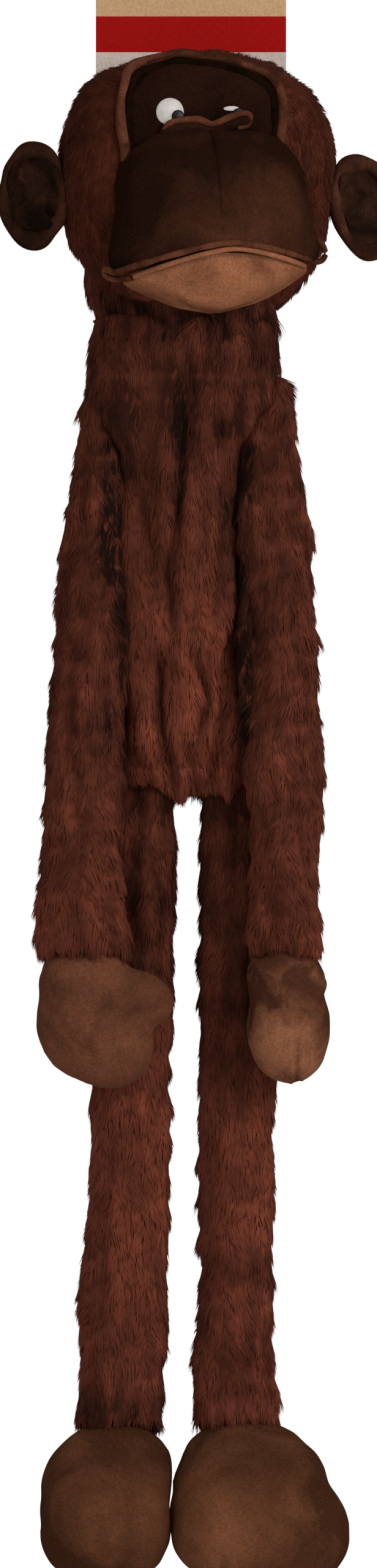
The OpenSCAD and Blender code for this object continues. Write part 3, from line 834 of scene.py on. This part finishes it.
def lid(name, eye_x, eye_z, way):
    """Half of a lid of plush that leaves a lens-shaped slit over the eye. way is 1 above it and -1 below."""
    radius, rise, plane, thick = 12.5, 6.4, -43.8, 1.4
    slit_z, slit_w, slit_h = 1.6, 0.46, 1.7
    rows, cols = 10, 31
    u = np.linspace(-1, 1, cols)[None]
    r = np.linspace(0, 1, rows)[:, None]
    x = radius * u + 0 * r
    inner = slit_z + way * slit_h * np.sqrt(np.clip(1 - (u / slit_w) ** 2, 0, 1))
    outer = way * radius * np.sqrt(np.clip(1 - u ** 2, 0.02, 1)) + slit_z * (1 - np.abs(u))
    z = inner + (outer - inner) * r
    y = plane - rise * np.sqrt(np.clip(1 - (x ** 2 + z ** 2) / (radius + 1.5) ** 2, 0.0, 1))
    front = np.stack([eye_x + x, y, eye_z + z], -1)
    points, triangles = sheet(front, front + np.array([0, thick, 0]))
    head_piece(name, (from_head(points), triangles), FOREHEAD, "dark_plush")


def finish_nodes(finishes):
    """Gives CAD nodes their materials, from a table of node names and materials."""
    for node, material in finishes.items():
        materials = frame["nodes"][node].data.materials
        materials.clear()
        materials.append(material)


def eyes():
    """Finishes for the button eyes, and the lids that half close the left one."""
    eye = moulded("eye_white", (134, 130, 126), (152, 147, 143), 0.4, specular=0.15)
    black = moulded("eye_black", (5, 4, 4), (10, 8, 8), 0.4, specular=0.1)
    for side in SIDES:
        finish_nodes({f"{side}_eye": eye, f"{side}_pupil": black})
    eye_x, eye_z = 19, 42
    lid("left_upper_lid", eye_x, eye_z, 1)
    lid("left_lower_lid", eye_x, eye_z, -1)


EAR_OUT = 121.0
EAR_HALF_WIDTH, EAR_HALF_HEIGHT = 24.5, 39
EAR_Z = {"left": -29.0, "right": -13.5}
EAR_TILT = {"left": math.radians(10), "right": math.radians(-3)}


def ear(side):
    """A cupped ear: a stuffed back with a thick rolled rim, and a dark bowl set into it."""
    way = 1 if side == "left" else -1
    sides = 56
    angle = np.arange(sides) / sides * 2 * math.pi
    c, s = power(np.cos(angle), 2.2), power(np.sin(angle), 2.2)

    def ring(share, y):
        x, z = EAR_HALF_WIDTH * share * c, EAR_HALF_HEIGHT * share * s
        lean = EAR_TILT[side]
        return np.stack([x * math.cos(lean) - z * math.sin(lean), np.full(sides, y),
                         x * math.sin(lean) + z * math.cos(lean)], -1)
    shell = [ring(k, y) for k, y in ((0.03, 7.5), (0.35, 7.2), (0.62, 5.8), (0.82, 3.0), (0.95, -0.5),
                                    (1.0, -4.0), (0.985, -7.0), (0.93, -9.2), (0.85, -9.8), (0.76, -8.6),
                                    (0.70, -6.0), (0.66, -2.5), (0.4, 1.5), (0.03, 2.0))]
    bowl = [ring(k, y) for k, y in ((0.03, -0.5), (0.3, -0.8), (0.55, -2.6), (0.7, -6.2), (0.76, -8.0),
                                   (0.73, -5.0), (0.55, 0.0), (0.3, 1.6), (0.03, 1.8))]
    centre = np.array([way * EAR_OUT, -2, EAR_Z[side]])
    for name, rings, material, slot, node in (("shell", shell, EAR_SKIN_LIT_AND_SHADED[side], "fur", "ear_back"),
                                              ("bowl", bowl, EAR_BOWL_LIT_AND_SHADED[side], "dark_plush", "ear_front")):
        rings = np.array([smooth_path(np.array(rings)[:, k], 40) for k in range(sides)]).transpose(1, 0, 2)
        points, triangles = closed_form(rings)
        lump = 1.6 * waves(points + 90 * way, 13, 81)
        if name == "bowl":
            lump = lump + 1.5 * waves(points, 15, 82)
        points = swell(points, triangles, lump) + centre
        head_piece(f"{side}_ear_{name}", (from_head(points), triangles), material, slot,
                   f"{side}_ear", fill=0.4, replaces=(f"{side}_{node}",))


# ---- Neck and torso ----

BODY_INSET = 3.0
# Painted shade on the neck's fur, under the head.
NECK_PAINTED_SHADE = -0.36
NECK_FUR_TOP = -219


def rows_at(heights, rings):
    """Rows of height, left, right, front and back at heights, read between rings."""
    return np.stack([heights] + [np.interp(heights, rings[:, 0], rings[:, k]) for k in range(1, 5)], -1)


def neck():
    """The neck, from under the head down into the body's top, with painted shade on its fur."""
    heights = np.linspace(-212, -270, 22)
    rows = rows_at(heights, cad_rings("neck_skin"))
    wider = 5.0 + 6 * smoothstep(heights, -262, -225)
    rows[:, 1] += BODY_INSET - wider * 1.2
    rows[:, 2] -= BODY_INSET - wider * 0.2
    rows[:, 3] += BODY_INSET
    rows[:, 4] -= BODY_INSET
    points, triangles = closed_form(ovals(rows, 90, 2.4))
    points = swell(points, triangles, 1.5 * waves(points, 14, 91))
    furry("neck", (points, triangles), 92, between=("head", "neck", (0, 0, -230), (0, 0, -252)),
          replaces=("neck_skin", "neck_stuffing"), keep=lambda p: p[:, 2] < NECK_FUR_TOP,
          bright=lambda p: NECK_PAINTED_SHADE)


def crease(points, route, depth, width):
    """A soft fold down the front along route, a list of x and z places from the top down."""
    route = np.array(route, float)[::-1]
    centre = np.interp(points[:, 2], route[:, 1], route[:, 0])
    ends = (smoothstep(points[:, 2], route[0, 1] - 14, route[0, 1] + 14)
            * (1 - smoothstep(points[:, 2], route[-1, 1] - 14, route[-1, 1] + 14)))
    front = smoothstep(-points[:, 1], 50, 70)
    return depth * np.exp(-((points[:, 0] - centre) / width) ** 2) * ends * front


# Height, left and right of the body's outline, from the top down.
TORSO_OUTLINE = np.array([
    [-256, -71, 61], [-300, -75, 60], [-318, -76, 60], [-336, -64, 49], [-352, -54, 37], [-420, -53, 35],
    [-500, -52, 37], [-560, -50, 41], [-576, -49, 42], [-588, -45, 38], [-597, -34, 28],
    [-602, -12, 6]], float)
# The route of each fold down the front, with its depth and width.
TORSO_CREASES = [
    ([(-4, -300), (-7, -350), (-12, -400), (-17, -440), (-14, -480)], 9.0, 6.0),
    ([(20, -330), (26, -400), (22, -470)], 5.0, 6.0),
    ([(-34, -390), (-28, -440), (-24, -480)], 5.0, 6.0),
    ([(2, -500), (12, -530), (4, -560)], 9.0, 5.5),
    ([(-25, -500), (-23, -545), (-14, -596)], 12.0, 5.5),
    ([(30, -480), (26, -540), (16, -590)], 10.0, 5.5),
    ([(-2, -565), (2, -600)], 7.0, 4.5)]


# Painted shade under the chin, easing into painted light on the belly; painted shade at the sides beside the
# arms and along the creases.
CHEST_PAINTED_SHADE, BELLY_PAINTED_LIGHT, SIDE_PAINTED_SHADE, CREASE_PAINTED_SHADE = -0.26, 0.52, 0.32, 0.028


def torso_light(p):
    """Painted shade under the chin that eases into painted light towards the belly, painted shade at the
    sides where the arms hang against the body, and painted shade along the creases.
    """
    side = smoothstep(np.abs(p[:, 0] + 9), 37, 45) * smoothstep(-p[:, 2], 345, 365)
    folds = sum(crease(p, route, depth, width) for route, depth, width in TORSO_CREASES)
    belly = smoothstep(-p[:, 2], 320, 590)
    return CHEST_PAINTED_SHADE + BELLY_PAINTED_LIGHT * belly - SIDE_PAINTED_SHADE * side - CREASE_PAINTED_SHADE * folds


def torso():
    """The body from the neck down to the fork of the legs, with its yoke over the tops of the arms."""
    outline = TORSO_OUTLINE[::-1]
    rings = np.vstack([cad_rings("torso_skin"), cad_rings("neck_skin")])
    rings = rings[np.argsort(rings[:, 0])]
    heights = np.linspace(-258, -602, 130)
    left, right = (np.interp(heights, outline[:, 0], outline[:, k]) for k in (1, 2))
    rows = rows_at(heights, rings)
    front, back = rows[:, 3] + BODY_INSET, rows[:, 4] - BODY_INSET
    closing = np.sqrt(np.clip(1 - (smoothstep(heights, -560, -606) * 0.97) ** 2, 0, 1))
    middle, half = (front + back) / 2, (back - front) / 2 * closing
    rows = np.stack([heights, left, right, middle - half, middle + half], -1)
    points, triangles = closed_form(ovals(rows, 140, 2.3))
    fold = 2.4 * waves(points, 14, 101, (1, 1, 4.0)) + 1.4 * waves(points, 15, 102)
    for route, depth, width in TORSO_CREASES:
        fold -= crease(points, route, depth, width)
    points = swell(points, triangles, fold)
    furry("torso", (points, triangles), 104, between=("neck", "torso", (0, 0, -278), (0, 0, -304)),
          replaces=("torso_skin", "torso_stuffing"), bright=torso_light)


# ---- Limbs ----

ELBOW_REACH, KNEE_REACH = np.array([0, 0, 42]), np.array([0, 0, 46])
BESIDE_BODY = (560, 620)
# Painted shade on the upper arm, and in the gap where the arm hangs against the body.
ARM_SHADE, UPPER_ARM_PAINTED_SHADE, INNER_ARM_PAINTED_SHADE = -0.05, 0.14, 0.22
# Painted shadow on the thigh that lifts on the shin, darker fur towards the ankle, and a band of painted
# fold shadow.
THIGH_PAINTED_SHADOW, SHIN_PALER, ANKLE_DARKER, BAND_PAINTED_SHADOW, BAND_WIDTH = -0.24, 0.34, 0.12, 0.26, 13
ARM_SEED = {"left": 200, "right": 300}
ARM_NARROWED = {"left": 13, "right": 8}
ARM_SHADED_FROM = {"left": 47, "right": -66}
LEG_SEED = {"left": 400, "right": 500}
LEG_INNER_EDGE = {"left": 8.5, "right": -11.0}
# Where each leg's band of painted fold shadow lies.
LEG_FOLD_SHADOW_AT = {"left": -942, "right": -1040}


def limb_rows(nodes, joint_z, heights, inset=2.2, clear=30.0):
    """Rows of a limb at heights, from its CAD sleeves, smoothed across the bend at joint_z."""
    rings = cad_rings(*nodes)
    rings = rings[np.abs(rings[:, 0] - joint_z) > clear]
    rows = rows_at(heights, rings)
    rows[:, [1, 3]] += inset
    rows[:, [2, 4]] -= inset
    return rows


def rounded_ends(rows, top, bottom):
    """The rows drawn in towards a round end over a reach of top millimetres, and of bottom."""
    rows = rows.copy()
    z = rows[:, 0]
    share = np.ones(len(z))
    for reach, away in ((top, z.max() - z), (bottom, z - z.min())):
        share *= np.sqrt(np.clip(1 - (1 - np.clip(away / reach, 0, 1)) ** 2, 0.02, 1))
    for a, b in ((1, 2), (3, 4)):
        middle, half = (rows[:, a] + rows[:, b]) / 2, (rows[:, b] - rows[:, a]) / 2
        rows[:, a], rows[:, b] = middle - half * share, middle + half * share
    return rows


def limb_piece(name, rows, seed, between, replaces, **fur):
    """A furry limb through rows, with the folds of its loose cloth."""
    points, triangles = closed_form(ovals(rows, 56))
    fold = 2.2 * waves(points, 14, seed + 1, (1, 1, 2.2)) + 1.2 * waves(points, 9, seed + 2)
    points = swell(points, triangles, fold)
    furry(name, (points, triangles), seed + 3, between=between, replaces=replaces, **fur)


def arm(side):
    """One arm, from the shoulder to the hem over the wrist. It thins beside the body, and its fur takes
    painted shade on the upper arm and more in the gap against the body.
    """
    shoulder, elbow, wrist = (pivot(f"{side}_{j}") for j in ("shoulder_swing", "elbow", "wrist"))
    nodes = (f"{side}_upper_sleeve", f"{side}_forearm_sleeve")
    way = 1 if side == "left" else -1
    rows = limb_rows(nodes, elbow[2], np.linspace(shoulder[2] + 22, wrist[2] + 1, 126))
    near = smoothstep(-rows[:, 0], 315, 345) * (1 - smoothstep(-rows[:, 0], *BESIDE_BODY))
    rows[:, 1 if way > 0 else 2] -= way * ARM_NARROWED[side] * near

    def inner_side(p):
        # Painted shade on the upper arm, and more where the arm lies in the gap against the body.
        behind = way * (ARM_SHADED_FROM[side] - p[:, 0])
        shaded_gap = smoothstep(behind, -4, 6) * (1 - smoothstep(-p[:, 2], *BESIDE_BODY))
        upper = 1 - smoothstep(-p[:, 2], 540, 620)
        return ARM_SHADE - UPPER_ARM_PAINTED_SHADE * upper - INNER_ARM_PAINTED_SHADE * shaded_gap
    limb_piece(f"{side}_arm", rounded_ends(rows, 28, 8), ARM_SEED[side],
               (f"{side}_upper_arm", f"{side}_forearm", elbow + ELBOW_REACH, elbow - ELBOW_REACH),
               (*nodes, f"{side}_upper_arm_stuffing", f"{side}_forearm_stuffing",
                f"{side}_shoulder_ball"), bright=inner_side)


def leg(side):
    """One leg, from the hip to the hem over the ankle, with painted shadow on the thigh where the hand hangs
    before it, a band of painted fold shadow, and darker fur towards the ankle.
    """
    hip, knee, ankle = (pivot(f"{side}_{j}") for j in ("hip_swing", "knee", "ankle"))
    nodes = (f"{side}_thigh_sleeve", f"{side}_shin_sleeve")
    rows = limb_rows(nodes, knee[2], np.linspace(hip[2] + 12, ankle[2] - 2, 140))
    inner = rows[:, 1 if side == "left" else 2]
    near = 1 - smoothstep(-rows[:, 0], 650, 780)
    inner += (LEG_INNER_EDGE[side] - inner) * near

    def shades(p):
        # Painted shadow on the thigh where the hand hangs before it, lifting on the shin; darker towards the
        # ankle; and a band of painted fold shadow.
        down = -p[:, 2]
        shin = SHIN_PALER * smoothstep(down, 740, 860)
        ankle_part = ANKLE_DARKER * smoothstep(down, 900, 980)
        band = BAND_PAINTED_SHADOW * np.exp(-((p[:, 2] - LEG_FOLD_SHADOW_AT[side]) / BAND_WIDTH) ** 2)
        return THIGH_PAINTED_SHADOW + shin - ankle_part - band
    limb_piece(f"{side}_leg", rounded_ends(rows, 14, 8), LEG_SEED[side],
               (f"{side}_thigh", f"{side}_shin", knee + KNEE_REACH, knee - KNEE_REACH),
               (*nodes, f"{side}_thigh_stuffing", f"{side}_shin_stuffing", f"{side}_hip_ball"),
               bright=shades)


# ---- Hands and feet ----

def blobs(name, parts, voxel=3.2, smoothing=10):
    """One soft closed form from overlapping ovals, each given by its centre and half sizes."""
    bm = bmesh.new()
    for centre, half in parts:
        ball = bmesh.ops.create_icosphere(bm, subdivisions=4, radius=1.0)
        for v in ball["verts"]:
            v.co = Vector([(c + h * p) * MM for c, h, p in zip(centre, half, v.co)])
    mesh = bpy.data.meshes.new(name)
    bm.to_mesh(mesh)
    bm.free()
    obj = bpy.data.objects.new(name, mesh)
    bpy.context.scene.collection.objects.link(obj)
    remesh = obj.modifiers.new("remesh", "REMESH")
    remesh.mode = "VOXEL"
    remesh.voxel_size = voxel * MM
    smooth = obj.modifiers.new("smooth", "SMOOTH")
    smooth.factor = 0.6
    smooth.iterations = smoothing
    subdivide = obj.modifiers.new("subdivide", "SUBSURF")
    subdivide.levels = subdivide.render_levels = 1
    return applied(obj)


def applied(obj):
    """The object with its modifiers turned into mesh."""
    graph = bpy.context.evaluated_depsgraph_get()
    mesh = bpy.data.meshes.new_from_object(obj.evaluated_get(graph))
    obj.modifiers.clear()
    obj.data = mesh
    mesh.polygons.foreach_set("use_smooth", np.ones(len(mesh.polygons), bool))
    return obj


def sculpt(obj, move):
    """Moves the mesh's points along their normals by move(points)."""
    mesh = obj.data
    flat = np.zeros(len(mesh.vertices) * 3)
    normals = np.zeros(len(mesh.vertices) * 3)
    mesh.vertices.foreach_get("co", flat)
    mesh.vertices.foreach_get("normal", normals)
    points = flat.reshape(-1, 3) / MM
    points = points + normals.reshape(-1, 3) * move(points)[:, None]
    mesh.vertices.foreach_set("co", (points * MM).ravel())
    mesh.update()


def groove(distance, depth, width):
    """A seam's dip and the low swells beside it. distance is how far each point is from the seam."""
    dip = np.exp(-(distance / width) ** 2)
    swells = np.exp(-((np.abs(distance) - 2.4 * width) / width) ** 2)
    return -depth * dip + 0.35 * depth * swells


def paw(name, parts, material, seed, seam=None):
    """A stuffed hand or foot, with the dips of its seams."""
    obj = blobs(name, parts)

    def shape(points):
        move = 0.6 * waves(points, 16, seed) + 0.2 * waves(points, 7, seed + 1)
        return move + (seam(points) if seam else 0)
    sculpt(obj, shape)
    obj.data.materials.append(material)
    place(obj, "paw_plush", name, fill=0.75, replaces=(f"{name}_skin", f"{name}_stuffing"))


def hands():
    """A mitten hand with its thumb turned in, and a hand seen from its palm's edge."""
    w = pivot("right_wrist")
    parts = [(w + [5, 0, -38], (36.5, 24, 49)), (w + [1, 0, -18], (34.5, 22, 34)),
             (w + [17, 0, -60], (34, 21, 32)), (w + [-2, 0, -42], (33, 20, 42)),
             (w + [34, -2, -22], (24, 17, 17)), (w + [46.5, -2, -29], (18.5, 15, 18))]
    paw("right_hand", parts, HAND, 601, lambda p: groove(p[:, 1] - w[1], 1.4, 1.6))
    w = pivot("left_wrist")
    parts = [(w + [3, 0, -46], (30.5, 27, 42)), (w + [1, 0, -14], (29, 24, 30)),
             (w + [6, 0, -58], (26, 22, 30))]

    def seam(p):
        low = smoothstep(-p[:, 2], 50 - w[2], 58 - w[2]) * (p[:, 1] < w[1])
        fan = np.abs(np.abs(p[:, 0] - w[0] - 9) - 0.6 * (p[:, 2] - w[2] + 50))
        high = smoothstep(p[:, 2], w[2] - 52, w[2] - 44) * (p[:, 1] < w[1])
        return low * groove(p[:, 0] - w[0] - 9, 2.2, 1.6) + high * (2.8 * np.exp(-(fan / 4) ** 2) - 1.6)
    paw("left_hand", parts, PALM, 611, seam)


def feet():
    """Two broad feet, the left one with a dip between its toes."""
    a = pivot("left_ankle")
    parts = [(a + [14, -14, -58], (61, 46, 46)), (a + [9, -6, -24], (49, 28, 34)),
             (a + [12, -10, -36], (56, 36, 40)),
             (a + [-4, -20, -72], (42, 48, 36)), (a + [38, -20, -72], (46, 48, 46))]
    paw("left_foot", parts, FOOT, 621,
        lambda p: (groove(p[:, 0] - a[0] + 8, 3.5, 3.0) * smoothstep(-p[:, 2], 84 - a[2], 98 - a[2])
                   * smoothstep(-p[:, 1], -a[1] - 5, 10 - a[1])))
    a = pivot("right_ankle")
    parts = [(a + [-10, -14, -58], (47.5, 44, 46)), (a + [-4, -6, -25], (43, 28, 34)),
             (a + [-9, -8, -38], (47.5, 36, 40)),
             (a + [-16, -18, -72], (41, 46, 36)), (a + [11, -18, -66], (27, 40, 38))]
    paw("right_foot", parts, FOOT, 631)


# ---- Carried-over parts ----

def finish_cad_parts():
    """Finishes for the CAD nodes that stay as they are."""
    squeaker = moulded("squeaker_plastic", (214, 213, 205), (232, 231, 224), 0.4)
    reed = moulded("reed_plastic", (150, 126, 52), (172, 146, 66), 0.4)
    pin = moulded("clear_pin", (215, 215, 215), (235, 235, 235), 0.2, clear=0.5)
    finishes = {"header_card": card_face(), "tag_pins": pin, "eye_washers": squeaker}
    for place_name in ("head", "belly"):
        finishes[f"{place_name}_squeaker_base"] = squeaker
        finishes[f"{place_name}_squeaker_dome"] = squeaker
        finishes[f"{place_name}_squeaker_reed"] = reed
    finish_nodes(finishes)


finish_cad_parts()
make_head()
forehead()
brow_ridge()
muzzle()
lips()
jaw()
nose()
eyes()
neck()
torso()
for side in SIDES:
    ear(side)
    arm(side)
    leg(side)
hands()
feet()
